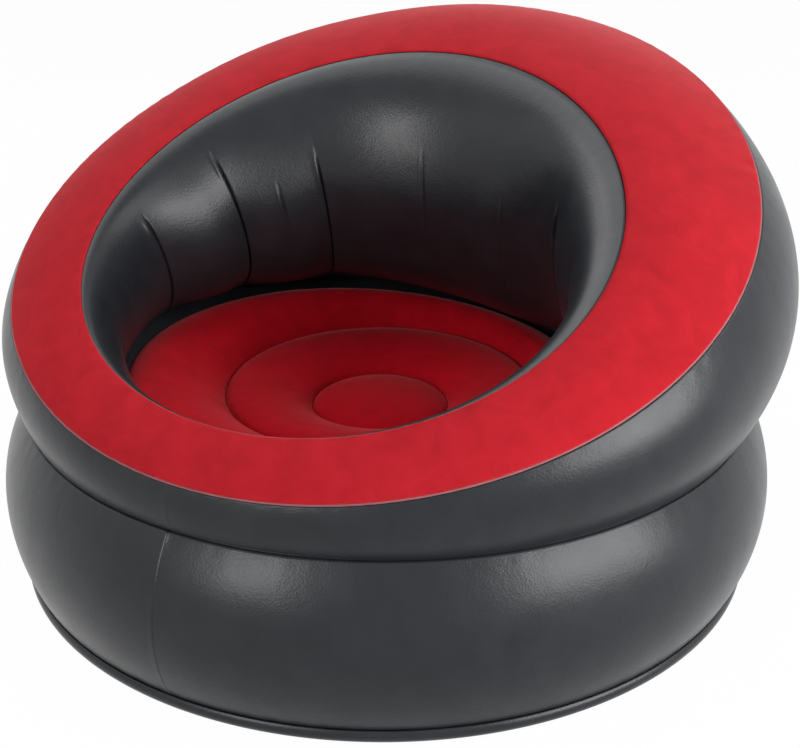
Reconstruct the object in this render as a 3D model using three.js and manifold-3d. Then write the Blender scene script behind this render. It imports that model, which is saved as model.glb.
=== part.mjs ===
// Round inflatable tub chair: a drum-shaped base chamber under a sloping ring chamber.
// Millimetres, Z up, front toward -Y. The origin is the middle of the base sheet, on the floor.

import * as THREE from 'three';
import { mergeVertices } from 'three/addons/utils/BufferGeometryUtils.js';
import Module from 'manifold-3d';

const wasm = await Module();
wasm.setup();

// Films and welds
const vinylThickness = 0.4;
const flockedThickness = 0.6;
const weldGap = 0.3;
const lapWidth = 10;

// Base chamber
const baseWeldRadius = 526;
const baseWeldHeight = 20;
const waistRadius = 515;
const waistHeight = 245;
const waistSetback = 10;
const lowerWallBulge = 32;

// Outer edge of the sloping band, in plan and at its front and back
const outerRimRadius = 511;
const outerRimSetback = 6;
const outerRimFrontHeight = 307;
const outerRimBackHeight = 692;
const outerRimEggShare = -0.047;

// Inner edge of the band
const innerRimHalfWidth = 361;
const innerRimHalfLength = 341;
const innerRimSetback = -102;
const innerRimFrontHeight = 361;
const innerRimBackHeight = 673;
const innerRimEggShare = -0.055;

// The upper wall bulges more where it is taller
const upperWallBulge = 44;
const upperWallBulgeHeight = 250;
const upperWallBulgePower = 1.5;
const bandCrownShare = 0.08;

// Seat, from its red edge to its middle
const seatEdgeRadius = 333;
const seatEdgeSetback = -60;
const seatEdgeHeight = 268;
const seatEdgeDrop = 6;
const outerWeldRadius = 222;
const outerWeldHeight = 235;
const innerWeldRadius = 98;
const innerWeldHeight = 211;
const seatWeldSetback = -20;
const seatWeldWidth = 8;
const outerCushionCrown = 24;
const innerCushionCrown = 15;
const middleCushionCrown = 13;

// Inner wall: its foot stands on a black strip round the seat. It rolls in over the seat and
// tucks back under, as shares of its height
const wallFootRadius = 375;
const wallFootSetback = -40;
const wallFootHeight = 277;
const rollReachShare = 0.26;
const rollDropShare = 0.03;
const tuckReachShare = 0.38;

// Upright creases of the inner wall
const creaseSpacingAngle = 30;
const creaseDepth = 8;
const creaseFullHeight = 300;

// Air holes of the tie bands and of the middle sheet
const bandHoleRadius = 20;
const bandHoleCount = 6;
const airHoleRadius = 22;
const airHoleCount = 6;
const cutOverrun = 30;

// Valve, low in the middle of the back
const valveBore = 14;
const collarThickness = 3;
const collarDepth = 16;
const collarLip = 3;
const flangeRadius = 30;
const flangeThickness = 1.2;
const bodySleeveThickness = 2.2;
const bodyDepth = 18;
const bodyRimOverhang = 5;
const bodyRimThickness = 2.5;
const bodyFloorDepth = 4;
const bodyFloorThickness = 1.6;
const fineBore = 6;
const runningClearance = 0.3;
const flapOverlap = 2;
const flapThickness = 0.8;
const flapTabWidth = 6;
const flapTabReach = 1.5;
const capOverhang = 4;
const capThickness = 1.6;
const capPlugLength = 6;
const capEarWidth = 8;
const capEarReach = 7;
const strapWidth = 4;
const strapThickness = 0.8;
const strapRise = 5;
const strapInset = 3;

// Fineness of the mesh
const stations = 48;
const wallSteps = 8;
const bandSteps = 4;
const cushionSteps = 3;
const turnSteps = 3;
const latheSegments = 24;
const holeSegments = 12;
const strapSteps = 8;

const vinylColour = 0x26282a;
const flockColour = 0xb5202c;
const valveColour = 0x1b1c1e;

const vinyl = new THREE.MeshStandardMaterial({ color: vinylColour, roughness: 0.45, metalness: 0 });
const flock = new THREE.MeshStandardMaterial({ color: flockColour, roughness: 0.95, metalness: 0 });
const moulded = new THREE.MeshStandardMaterial({ color: valveColour, roughness: 0.35, metalness: 0 });

const up = new THREE.Vector3(0, 0, 1);
const stationAngles = Array.from({ length: stations }, (_, i) => (2 * Math.PI * i) / stations);
const rearStation = stations / 4;

// Rings of points, one point for each station round the chair

function ring(pointAt) {
  return stationAngles.map((angle, station) => pointAt(angle, station));
}

function circle(radius, setback, height) {
  return ring((angle) => new THREE.Vector3(
    radius * Math.cos(angle),
    setback + radius * Math.sin(angle),
    height,
  ));
}

function slopingRim({ halfWidth, halfLength, setback, front, back, eggShare }) {
  return ring((angle) => new THREE.Vector3(
    halfWidth * Math.cos(angle) * (1 + eggShare * Math.sin(angle)),
    setback + halfLength * Math.sin(angle),
    (front + back) / 2 + ((back - front) / 2) * Math.sin(angle),
  ));
}

function outwardAt(station) {
  const angle = stationAngles[station];
  return new THREE.Vector3(Math.cos(angle), Math.sin(angle), 0);
}

// Rings strictly between two rings, bowed off the straight line by a circular-looking bulge
function bowedRings(from, to, steps, bowAt) {
  const rings = [];
  for (let step = 1; step < steps; step += 1) {
    const share = step / steps;
    const height = 4 * share * (1 - share);
    rings.push(ring((_, station) => from[station].clone()
      .lerp(to[station], share)
      .addScaledVector(bowAt(station), height)));
  }
  return rings;
}

// The part of a direction that is square to a chord, as a unit vector
function squareTo(direction, chord) {
  const along = chord.clone().normalize();
  return direction.clone().addScaledVector(along, -direction.dot(along)).normalize();
}

function movedToward(from, to, distance) {
  return ring((_, station) => {
    const way = to[station].clone().sub(from[station]).normalize();
    return from[station].clone().addScaledVector(way, distance);
  });
}

// Sheets: rows of rings run so that the outside lies to the right of the way round and across

function pointOf(row, station) {
  return row.length === 1 ? row[0] : row[(station + stations) % stations];
}

function normalAt(rows, j, station) {
  const here = pointOf(rows[j], station);
  const round = pointOf(rows[j], station + 1).clone().sub(pointOf(rows[j], station - 1));
  const across = new THREE.Vector3();
  if (j > 0) across.add(here.clone().sub(pointOf(rows[j - 1], station)).normalize());
  if (j < rows.length - 1) across.add(pointOf(rows[j + 1], station).clone().sub(here).normalize());
  return round.cross(across).normalize();
}

function rowNormals(rows, j) {
  if (rows[j].length > 1) return ring((_, station) => normalAt(rows, j, station));
  const neighbour = j === 0 ? 1 : j - 1;
  const sum = new THREE.Vector3();
  ring((_, station) => sum.add(normalAt(rows, neighbour, station)));
  return [sum.normalize()];
}

function offsetRow(rows, j, distance) {
  const normals = rowNormals(rows, j);
  return rows[j].map((point, station) => point.clone().addScaledVector(normals[station], distance));
}

// A closed sheet of even thickness round the given middle surface
function sheet(rows, thickness) {
  const outside = rows.map((_, j) => offsetRow(rows, j, thickness / 2));
  const inside = rows.map((_, j) => offsetRow(rows, j, -thickness / 2));
  const points = [...outside.flat(), ...inside.flat()];
  const starts = [];
  rows.reduce((start, row) => {
    starts.push(start);
    return start + row.length;
  }, 0);
  const insideStart = points.length / 2;
  const vertex = (j, station) => starts[j] + (rows[j].length === 1 ? 0 : station % stations);
  const faces = [];
  const face = (a, b, c) => {
    if (a !== b && b !== c && c !== a) faces.push(a, b, c);
  };
  for (let station = 0; station < stations; station += 1) {
    for (let j = 0; j < rows.length - 1; j += 1) {
      const a = vertex(j, station);
      const b = vertex(j, station + 1);
      const c = vertex(j + 1, station + 1);
      const d = vertex(j + 1, station);
      face(a, b, c);
      face(a, c, d);
      face(insideStart + a, insideStart + c, insideStart + b);
      face(insideStart + a, insideStart + d, insideStart + c);
    }
    rimFaces(face, vertex(0, station + 1), vertex(0, station), insideStart);
    const last = rows.length - 1;
    rimFaces(face, vertex(last, station), vertex(last, station + 1), insideStart);
  }
  const geometry = new THREE.BufferGeometry();
  const coordinates = points.flatMap((point) => point.toArray());
  geometry.setAttribute('position', new THREE.Float32BufferAttribute(coordinates, 3));
  geometry.setIndex(faces);
  return geometry;
}

function rimFaces(face, a, b, insideStart) {
  if (a === b) return;
  face(a, b, insideStart + b);
  face(a, insideStart + b, insideStart + a);
}

// The centre line of a weld's hidden margin, clear under or over the sheet that covers it
function marginRow(coverRows, j, coverThickness, thickness, side) {
  return offsetRow(coverRows, j, side * (coverThickness / 2 + weldGap + thickness / 2));
}

// Booleans

function closedGeometry(geometry) {
  const bare = geometry.clone();
  bare.deleteAttribute('normal');
  bare.deleteAttribute('uv');
  return mergeVertices(bare);
}

function toSolid(geometry) {
  const merged = closedGeometry(geometry);
  const mesh = new wasm.Mesh({
    numProp: 3,
    vertProperties: new Float32Array(merged.attributes.position.array),
    triVerts: new Uint32Array(merged.index.array),
  });
  return new wasm.Manifold(mesh);
}

function toGeometry(solid) {
  const mesh = solid.getMesh();
  const geometry = new THREE.BufferGeometry();
  geometry.setAttribute('position', new THREE.BufferAttribute(mesh.vertProperties, 3));
  geometry.setIndex(new THREE.BufferAttribute(mesh.triVerts, 1));
  return geometry;
}

function cut(geometry, tools) {
  const solid = tools.reduce((rest, tool) => rest.subtract(toSolid(tool)), toSolid(geometry));
  return toGeometry(solid);
}

function join(first, second) {
  return toGeometry(toSolid(first).add(toSolid(second)));
}

// A round cutter along Y, turned about Z and moved to its place
function sideCutter(radius, length, angle, place, segments = holeSegments) {
  const cutter = new THREE.CylinderGeometry(radius, radius, length, segments);
  cutter.rotateZ(angle);
  cutter.translate(place.x, place.y, place.z);
  return cutter;
}

// The chair's edges and middle surfaces

const baseWeld = circle(baseWeldRadius, 0, baseWeldHeight);
const waist = circle(waistRadius, waistSetback, waistHeight);
const outerRim = slopingRim({
  halfWidth: outerRimRadius,
  halfLength: outerRimRadius,
  setback: outerRimSetback,
  front: outerRimFrontHeight,
  back: outerRimBackHeight,
  eggShare: outerRimEggShare,
});
const innerRim = slopingRim({
  halfWidth: innerRimHalfWidth,
  halfLength: innerRimHalfLength,
  setback: innerRimSetback,
  front: innerRimFrontHeight,
  back: innerRimBackHeight,
  eggShare: innerRimEggShare,
});

// Base sheet: flat, then turned up through an arc that meets the wall in line
function baseRows() {
  const wallHeight = waistHeight - baseWeldHeight;
  const lean = 2 * Math.atan((2 * lowerWallBulge) / wallHeight);
  const lapRise = lapWidth * Math.cos(lean);
  const turnAngle = Math.PI / 2 - lean;
  const middle = vinylThickness / 2;
  const turnRadius = (baseWeldHeight - lapRise - middle) / (1 - Math.cos(turnAngle));
  const turnStart = baseWeldRadius - lapWidth * Math.sin(lean) - turnRadius * Math.sin(turnAngle);
  const rows = [[new THREE.Vector3(0, 0, middle)]];
  rows.push(circle(turnStart / 2, 0, middle));
  for (let step = 0; step <= turnSteps; step += 1) {
    const turned = (turnAngle * step) / turnSteps;
    const radius = turnStart + turnRadius * Math.sin(turned);
    rows.push(circle(radius, 0, middle + turnRadius * (1 - Math.cos(turned))));
  }
  rows.push(baseWeld);
  return rows;
}

// Flocked band: flat laps along both edges and a low crown between them
function topRows() {
  const crownAt = (station) => {
    const chord = innerRim[station].clone().sub(outerRim[station]);
    return squareTo(up, chord).multiplyScalar(bandCrownShare * chord.length());
  };
  const crown = bowedRings(outerRim, innerRim, bandSteps, crownAt);
  const outerLap = movedToward(outerRim, crown[0], lapWidth);
  const innerLap = movedToward(innerRim, crown.at(-1), lapWidth);
  return [outerRim, outerLap, ...crown, innerLap, innerRim];
}

// Seat: three round cushions between flat welds
function seatRows() {
  const edge = circle(seatEdgeRadius, seatEdgeSetback, seatEdgeHeight);
  const lapRadius = seatEdgeRadius - lapWidth;
  const lap = circle(lapRadius, seatEdgeSetback, seatEdgeHeight + seatEdgeDrop);
  const outerWeld = weldRows(outerWeldRadius, outerWeldHeight);
  const innerWeld = weldRows(innerWeldRadius, innerWeldHeight);
  const middle = [new THREE.Vector3(0, seatWeldSetback, innerWeldHeight + middleCushionCrown)];
  const raise = (crown) => () => up.clone().multiplyScalar(crown);
  const domeRadius = (innerWeldRadius - seatWeldWidth / 2) / 2;
  const domeHeight = innerWeldHeight + middleCushionCrown * (1 - 1 / 4);
  return [
    edge,
    lap,
    ...bowedRings(lap, outerWeld[0], cushionSteps, raise(outerCushionCrown)),
    ...outerWeld,
    ...bowedRings(outerWeld[1], innerWeld[0], cushionSteps, raise(innerCushionCrown)),
    ...innerWeld,
    circle(domeRadius, seatWeldSetback, domeHeight),
    middle,
  ];
}

function weldRows(radius, height) {
  return [
    circle(radius + seatWeldWidth / 2, seatWeldSetback, height),
    circle(radius - seatWeldWidth / 2, seatWeldSetback, height),
  ];
}

// Sheet between the chambers: flat in the waist weld, up to the foot of the inner wall,
// and in under the red edge of the seat
function middleRows(seat) {
  const foot = circle(wallFootRadius, wallFootSetback, wallFootHeight);
  return [
    waist,
    circle(waistRadius - lapWidth, waistSetback, waistHeight),
    movedToward(foot, waist, lapWidth),
    foot,
    marginRow(seat, 0, flockedThickness, vinylThickness, -1),
    marginRow(seat, 1, flockedThickness, vinylThickness, -1),
  ];
}

// A wall's bow: outward, square to the line between its two welds
function bulge(from, to, amountAt) {
  return (station) => {
    const chord = to[station].clone().sub(from[station]);
    return squareTo(outwardAt(station), chord).multiplyScalar(amountAt(chord.length()));
  };
}

function lowerWallRows(base, middle) {
  const last = base.length - 1;
  const foot = marginRow(base, last, vinylThickness, vinylThickness, -1);
  const head = marginRow(middle, 0, vinylThickness, vinylThickness, -1);
  return [
    marginRow(base, last - 1, vinylThickness, vinylThickness, -1),
    foot,
    ...bowedRings(foot, head, wallSteps, bulge(foot, head, () => lowerWallBulge)),
    head,
    marginRow(middle, 1, vinylThickness, vinylThickness, -1),
  ];
}

function upperWallRows(middle, top) {
  const foot = marginRow(middle, 0, vinylThickness, vinylThickness, 1);
  const head = marginRow(top, 0, flockedThickness, vinylThickness, -1);
  const amountAt = (height) => upperWallBulge * (height / upperWallBulgeHeight) ** upperWallBulgePower;
  return [
    marginRow(middle, 1, vinylThickness, vinylThickness, 1),
    foot,
    ...bowedRings(foot, head, wallSteps, bulge(foot, head, amountAt)),
    head,
    marginRow(top, 1, flockedThickness, vinylThickness, -1),
  ];
}

// Inner wall: a roll over the seat that tucks back under, with upright creases where it is tall
function innerWallRows(top, middle) {
  const last = top.length - 1;
  const head = marginRow(top, last, flockedThickness, vinylThickness, -1);
  const foot = marginRow(middle, 3, vinylThickness, vinylThickness, 1);
  const rows = [marginRow(top, last - 1, flockedThickness, vinylThickness, -1), head];
  for (let step = 1; step < wallSteps; step += 1) {
    rows.push(ring((_, station) => rollPoint(head[station], foot[station], station, step / wallSteps)));
  }
  rows.push(foot, marginRow(middle, 2, vinylThickness, vinylThickness, 1));
  return rows;
}

function rollPoint(head, foot, station, share) {
  const height = head.distanceTo(foot);
  const inward = outwardAt(station).negate();
  const roll = head.clone()
    .addScaledVector(inward, rollReachShare * height)
    .addScaledVector(up, -rollDropShare * height);
  const tuck = foot.clone().addScaledVector(inward, tuckReachShare * height);
  const point = new THREE.CubicBezierCurve3(head, roll, tuck, foot).getPoint(share);
  const depth = creaseDepth * Math.min(1, height / creaseFullHeight) * 4 * share * (1 - share);
  return point.addScaledVector(inward, -depth * creaseShareAt(station));
}

function creaseShareAt(station) {
  const creaseEvery = (stations * creaseSpacingAngle) / 360;
  return station % creaseEvery === 0 ? 1 : 0;
}

// Tie band: an upright cylinder with a turned flange under the seat's weld and on the base
function bandSheet(radius, height) {
  const wallRadius = radius + seatWeldWidth / 2;
  const flangeRadius = radius - seatWeldWidth / 2;
  const low = vinylThickness + weldGap + vinylThickness / 2;
  const high = height - flockedThickness / 2 - weldGap - vinylThickness / 2;
  const rows = [
    circle(flangeRadius, seatWeldSetback, low),
    circle(wallRadius, seatWeldSetback, low),
    circle(wallRadius, seatWeldSetback, high),
    circle(flangeRadius, seatWeldSetback, high),
  ];
  const holes = [];
  for (let hole = 0; hole < bandHoleCount; hole += 1) {
    const angle = (2 * Math.PI * hole) / bandHoleCount;
    const place = new THREE.Vector3(
      -wallRadius * Math.sin(angle),
      seatWeldSetback + wallRadius * Math.cos(angle),
      (low + high) / 2,
    );
    holes.push(sideCutter(bandHoleRadius, cutOverrun, angle, place));
  }
  return cut(sheet(rows, vinylThickness), holes);
}

function middleSheet(rows) {
  const radius = (waistRadius + wallFootRadius) / 2;
  const setback = (waistSetback + wallFootSetback) / 2;
  const holes = [];
  for (let hole = 0; hole < airHoleCount; hole += 1) {
    const angle = (2 * Math.PI * (hole + 1 / 2)) / airHoleCount;
    const cutter = new THREE.CylinderGeometry(airHoleRadius, airHoleRadius, 2 * cutOverrun, holeSegments);
    cutter.rotateX(Math.PI / 2);
    cutter.translate(
      radius * Math.cos(angle),
      setback + radius * Math.sin(angle),
      (waistHeight + wallFootHeight) / 2,
    );
    holes.push(cutter);
  }
  return cut(sheet(rows, vinylThickness), holes);
}

// Valve: all its pieces turn round one axis along Y, zero at the flange's inner face

function lathe(outline, segments = latheSegments) {
  const closed = [...outline, outline[0]].map(([radius, along]) => new THREE.Vector2(radius, along));
  return new THREE.LatheGeometry(closed, segments);
}

const collarRadius = valveBore + collarThickness;
const lipTop = flangeThickness + collarLip;
const rimBottom = lipTop + runningClearance;
const rimTop = rimBottom + bodyRimThickness;
const sleeveRadius = valveBore - runningClearance;
const sleeveBore = sleeveRadius - bodySleeveThickness;
const rimRadius = sleeveRadius + bodyRimOverhang;
const floorBottom = -bodyFloorDepth - bodyFloorThickness;
const flapRadius = fineBore + flapOverlap;
const flapTop = floorBottom - runningClearance;
const capBottom = rimTop + runningClearance;
const capRadius = fineBore + capOverhang;

function valveFlange() {
  return lathe([
    [valveBore, lipTop],
    [valveBore, -collarDepth],
    [collarRadius, -collarDepth],
    [collarRadius, 0],
    [flangeRadius, 0],
    [flangeRadius, flangeThickness],
    [collarRadius, flangeThickness],
    [collarRadius, lipTop],
  ]);
}

function valveBody() {
  return lathe([
    [fineBore, rimTop],
    [fineBore, floorBottom],
    [sleeveBore, floorBottom],
    [sleeveBore, -bodyDepth],
    [sleeveRadius, -bodyDepth],
    [sleeveRadius, rimBottom],
    [rimRadius, rimBottom],
    [rimRadius, rimTop],
  ]);
}

// An upright round plate with a tab on its upper side, from one place to another along Y
function tabbedPlate(radius, tabWidth, tabReach, from, thickness) {
  const halfTab = tabWidth / 2;
  const tabAngle = Math.asin(halfTab / radius);
  const outline = new THREE.Shape();
  outline.moveTo(-halfTab, radius + tabReach);
  outline.absarc(0, 0, radius, Math.PI / 2 + tabAngle, (5 * Math.PI) / 2 - tabAngle, false);
  outline.lineTo(halfTab, radius + tabReach);
  outline.closePath();
  const plate = new THREE.ExtrudeGeometry(outline, {
    depth: thickness,
    bevelEnabled: false,
    curveSegments: latheSegments,
  });
  plate.rotateX(Math.PI / 2);
  plate.translate(0, from + thickness, 0);
  return plate;
}

function checkFlap() {
  const top = flapTop - flapThickness;
  return tabbedPlate(flapRadius, flapTabWidth, flapTabReach, top, flapThickness);
}

function valveCap() {
  const plugRadius = fineBore - runningClearance;
  const plugLow = capBottom - capPlugLength;
  const plugHigh = capBottom + capThickness / 2;
  const plug = new THREE.CylinderGeometry(plugRadius, plugRadius, plugHigh - plugLow, latheSegments);
  plug.translate(0, (plugLow + plugHigh) / 2, 0);
  return join(tabbedPlate(capRadius, capEarWidth, capEarReach, capBottom, capThickness), plug);
}

// A flat strap in the plane x = 0 that leaves both its ends square and arches away from the chair
function strap(from, to) {
  const rise = new THREE.Vector3(0, strapRise, 0);
  const route = new THREE.CubicBezierCurve3(from, from.clone().add(rise), to.clone().add(rise), to);
  const section = new THREE.Shape();
  section.moveTo(-strapWidth / 2, -strapThickness / 2);
  section.lineTo(strapWidth / 2, -strapThickness / 2);
  section.lineTo(strapWidth / 2, strapThickness / 2);
  section.lineTo(-strapWidth / 2, strapThickness / 2);
  section.closePath();
  return new THREE.ExtrudeGeometry(section, {
    steps: strapSteps,
    extrudePath: route,
    bevelEnabled: false,
  });
}

function capStrap() {
  const from = new THREE.Vector3(0, rimTop + runningClearance, -(rimRadius - strapInset));
  const to = new THREE.Vector3(0, capBottom + capThickness + runningClearance, -(capRadius - strapInset));
  return strap(from, to);
}

function bodyStrap() {
  const from = new THREE.Vector3(0, flangeThickness + runningClearance, flangeRadius - strapInset);
  const to = new THREE.Vector3(0, rimTop + runningClearance, rimRadius - strapInset);
  return strap(from, to);
}

// Assembly

const base = baseRows();
const top = topRows();
const seat = seatRows();
const middle = middleRows(seat);
const lowerWall = lowerWallRows(base, middle);
const upperWall = upperWallRows(middle, top);
const innerWall = innerWallRows(top, middle);

// The wall is outermost half way up, and the valve goes through it there
const valveSeat = lowerWall[1 + wallSteps / 2][rearStation];
const valvePlace = new THREE.Vector3(0, valveSeat.y + vinylThickness / 2 + weldGap, valveSeat.z);
const valveHole = sideCutter(collarRadius + weldGap, 2 * cutOverrun, 0, valvePlace, latheSegments);

function part(name, geometry, material) {
  const mesh = new THREE.Mesh(geometry, material);
  mesh.name = name;
  return mesh;
}

const valve = new THREE.Group();
valve.position.copy(valvePlace);
valve.add(part('valve_flange', valveFlange(), moulded));
valve.add(part('valve_body', valveBody(), moulded));
valve.add(part('check_flap', checkFlap(), moulded));
valve.add(part('valve_cap', valveCap(), moulded));
valve.add(part('cap_strap', capStrap(), moulded));
valve.add(part('body_strap', bodyStrap(), moulded));

const chair = new THREE.Group();
chair.add(part('base_sheet', sheet(base, vinylThickness), vinyl));
chair.add(part('lower_wall', cut(sheet(lowerWall, vinylThickness), [valveHole]), vinyl));
chair.add(part('middle_sheet', middleSheet(middle), vinyl));
chair.add(part('upper_wall', sheet(upperWall, vinylThickness), vinyl));
chair.add(part('top_sheet', sheet(top, flockedThickness), flock));
chair.add(part('inner_wall', sheet(innerWall, vinylThickness), vinyl));
chair.add(part('seat_sheet', sheet(seat, flockedThickness), flock));
chair.add(part('seat_inner_band', bandSheet(innerWeldRadius, innerWeldHeight), vinyl));
chair.add(part('seat_outer_band', bandSheet(outerWeldRadius, outerWeldHeight), vinyl));
chair.add(valve);

export default chair;
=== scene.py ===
"""Looks of a round inflatable tub chair: smooth inflated sheets, flock, vinyl and a moulded valve.

Metres, Z up, front toward -Y. Angles run from +X toward +Y, which is the back of the chair.
"""

import math
from collections import namedtuple

import bmesh
import bpy
import numpy as np
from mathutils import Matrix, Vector

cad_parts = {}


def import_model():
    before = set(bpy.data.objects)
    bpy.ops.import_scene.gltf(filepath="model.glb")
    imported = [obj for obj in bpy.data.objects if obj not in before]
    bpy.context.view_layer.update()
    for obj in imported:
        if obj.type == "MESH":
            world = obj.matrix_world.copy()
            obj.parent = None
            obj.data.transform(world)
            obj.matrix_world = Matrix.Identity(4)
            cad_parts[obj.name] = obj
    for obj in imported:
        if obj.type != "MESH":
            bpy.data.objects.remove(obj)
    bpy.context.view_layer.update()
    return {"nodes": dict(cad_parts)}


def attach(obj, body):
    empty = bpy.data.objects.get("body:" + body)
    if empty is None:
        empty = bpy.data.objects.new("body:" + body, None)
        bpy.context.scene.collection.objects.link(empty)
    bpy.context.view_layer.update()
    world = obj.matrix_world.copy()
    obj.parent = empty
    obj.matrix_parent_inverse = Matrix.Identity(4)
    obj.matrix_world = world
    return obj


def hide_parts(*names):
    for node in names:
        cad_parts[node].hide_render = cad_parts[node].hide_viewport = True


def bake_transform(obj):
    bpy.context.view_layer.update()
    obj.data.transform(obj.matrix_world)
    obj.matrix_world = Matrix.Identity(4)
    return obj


MM = 0.001

# Films and welds
VINYL_THICKNESS = 0.4 * MM
FLOCK_THICKNESS = 0.6 * MM
WELD_GAP = 0.3 * MM
LAP_WIDTH = 10 * MM
LAP_STEP = VINYL_THICKNESS + WELD_GAP

# Edges of the chambers
BASE_WELD_RADIUS = 526 * MM
BASE_WELD_HEIGHT = 20 * MM
BASE_TURN_RADIUS = 11.5 * MM
BASE_LAP = 2 * MM
WAIST_RADIUS = 515 * MM
WAIST_HEIGHT = 245 * MM
WAIST_CENTRE = (0, 10 * MM)
LOWER_WALL_BULGE = 32 * MM
UPPER_WALL_BULGE = 44 * MM
UPPER_WALL_BULGE_HEIGHT = 250 * MM
UPPER_WALL_BULGE_POWER = 1.5
BAND_CROWN_SHARE = 0.08

Rim = namedtuple("Rim", "half_width half_length setback front_height back_height egg_share")

# Edges of the band. A negative egg share makes the back narrower than the front
OUTER_RIM = Rim(511 * MM, 511 * MM, 6 * MM, 307 * MM, 692 * MM, -0.047)
INNER_RIM = Rim(361 * MM, 341 * MM, -102 * MM, 361 * MM, 673 * MM, -0.055)

# Seat: soft chambers settle, so its edge and the wall's foot lie a little lower on the right
SEAT_LEAN_SHARE = 0.085
SEAT_EDGE_RADIUS = 338 * MM
SEAT_EDGE_CENTRE = (6 * MM, -65 * MM)
SEAT_EDGE_HEIGHT = 263 * MM
WALL_FOOT_RADIUS = 377 * MM
WALL_FOOT_CENTRE = (18 * MM, -40 * MM)
WALL_FOOT_HEIGHT = 279 * MM
STRIP_CROWN = 3 * MM
SEAT_WELD_CENTRE = (0, -20 * MM)
OUTER_WELD_RADIUS = 222 * MM
OUTER_WELD_HEIGHT = 235 * MM
INNER_WELD_RADIUS = 98 * MM
INNER_WELD_HEIGHT = 211 * MM
SEAT_WELD_WIDTH = 2.4 * MM
OUTER_CUSHION_CROWN = 27 * MM
INNER_CUSHION_CROWN = 21 * MM
MIDDLE_CUSHION_CROWN = 19 * MM
OUTER_CUSHION_ROUNDNESS = 1.35
INNER_CUSHION_ROUNDNESS = 0.85
OUTER_CUSHION_SKEW = 1.1

# Inner wall: how far it rolls in over the seat and tucks back, as shares of its height.
# It tucks fullest at the back and rolls in farthest at the right
ROLL_REACH_SHARE = 0.26
ROLL_RIGHT_SHARE = 0.43
ROLL_DROP_SHARE = 0.03
TUCK_FRONT_SHARE = 0.24
TUCK_BACK_SHARE = 0.60
TUCK_RIGHT_SHARE = 0.44

# Where these shares change round the chair: from one value to another of the angle's cosine,
# which grows toward the right, or of its sine, which grows toward the back
ROLL_RIGHTWARD = (-0.1, 0.6)
ROLL_REARWARD = (-0.2, 0.85)
TUCK_RIGHTWARD = (0.3, 0.85)
TUCK_REARWARD = (-0.25, 0.28)

Crease = namedtuple("Crease", "angle head foot depth width")

# Long creases part the inner wall into flat panels. Angle in degrees, start and end as
# shares of the wall from its rim, depth and width of the groove
PANEL_CREASES = (
    Crease(9, 0.42, 0.86, 10 * MM, 4 * MM),
    Crease(35, 0.32, 0.84, 12 * MM, 3.2 * MM),
    Crease(129.5, 0.36, 0.83, 5 * MM, 1.7 * MM),
    Crease(157, 0.21, 0.85, 6 * MM, 1.8 * MM),
    Crease(181.5, 0.25, 0.88, 6 * MM, 1.8 * MM),
    Crease(212, 0.35, 0.80, 4 * MM, 3 * MM),
    Crease(250, 0.35, 0.80, 4 * MM, 3 * MM),
    Crease(290, 0.35, 0.80, 4 * MM, 3 * MM),
    Crease(328, 0.35, 0.80, 4 * MM, 3 * MM),
)
SHORT_CREASES = (
    Crease(60, 0.42, 0.74, 1.2 * MM, 4 * MM),
    Crease(93, 0.38, 0.66, 1.2 * MM, 5 * MM),
    Crease(143.5, 0.42, 0.60, 2.5 * MM, 2.4 * MM),
    Crease(199, 0.32, 0.56, 3 * MM, 2.2 * MM),
)
CREASES = PANEL_CREASES + SHORT_CREASES

# A wall lower than this has shallower creases. Each crease has a puffed lip on one side
CREASE_FULL_HEIGHT = 300 * MM
CREASE_LIP_WIDTH = 4 * MM
CREASE_LIP_OFFSET = 1.6 * CREASE_LIP_WIDTH
CREASE_LIP_SHARE = 0.45

# Where a crease opens and its lip fades, past its head, and where it closes, past its foot,
# in shares of the wall
CREASE_OPENING = (-0.03, 0.10)
CREASE_LIP_FADING = (0.02, 0.14)
CREASE_CLOSING = (-0.15, 0.06)

# Panels between the long creases: the most they puff out, their puff against what draws them
# flat, and the shares of the wall over which they swell and fall back
PANEL_PUFF = 16 * MM
PANEL_FLATNESS = 1.15
PANEL_SWELLING = (0.12, 0.70)
PANEL_FALLING = (0.78, 0.98)

# Upright weld of each outer wall, where its ends overlap. Angles in degrees, and the shares of
# the wall over which the lap comes up and the pucker at the waist fades
LOWER_WELD_ANGLE = 262.9
UPPER_WELD_ANGLE = 263.5
PANEL_WELD_WIDTH = 12 * MM
PANEL_WELD_RISE = 0.45 * MM
PANEL_EDGE_WIDTH = 1.6 * MM
PANEL_WELD_FADE = 0.02
WELD_PUCKER_RISE = 0.9 * MM
WELD_PUCKER_WIDTH = 3.5 * MM
WELD_PUCKER_REACH = 0.022

# Band: its outer edge is pressed flat and bare of flock, and a short rise leads up to the flock
BAND_EDGE_WIDTH = 2.3 * MM
BAND_EDGE_DROP = 0.8 * MM
BAND_RISE_SHARE = 1.2

Softness = namedtuple("Softness", "seed pucker_depth pucker_reach swell_depth")

# Relief of the soft sheets: how deep their small gathers are, how far these reach from a weld
# as a share of the sheet, and how deep the sheet's slow unevenness is
LOWER_SOFTNESS = Softness(11, 0.25 * MM, 0.07, 1.5 * MM)
UPPER_SOFTNESS = Softness(31, 0.3 * MM, 0.06, 1.5 * MM)
BAND_SOFTNESS = Softness(51, 0.5 * MM, 0.08, 1.0 * MM)
INNER_SOFTNESS = Softness(71, 0.15 * MM, 0.06, 0)
SWELL_SEED_STEP = 10

# Share of a sheet next to each weld where the weld holds it flat
WELD_FLAT_SHARE = 0.03

# Gathers of the seat: their depth, and how many rows of the mesh they reach from a weld
SEAT_PUCKER_SEED = 80
SEAT_PUCKER_DEPTH = 0.3 * MM
SEAT_PUCKER_ROWS = 5.0

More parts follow.
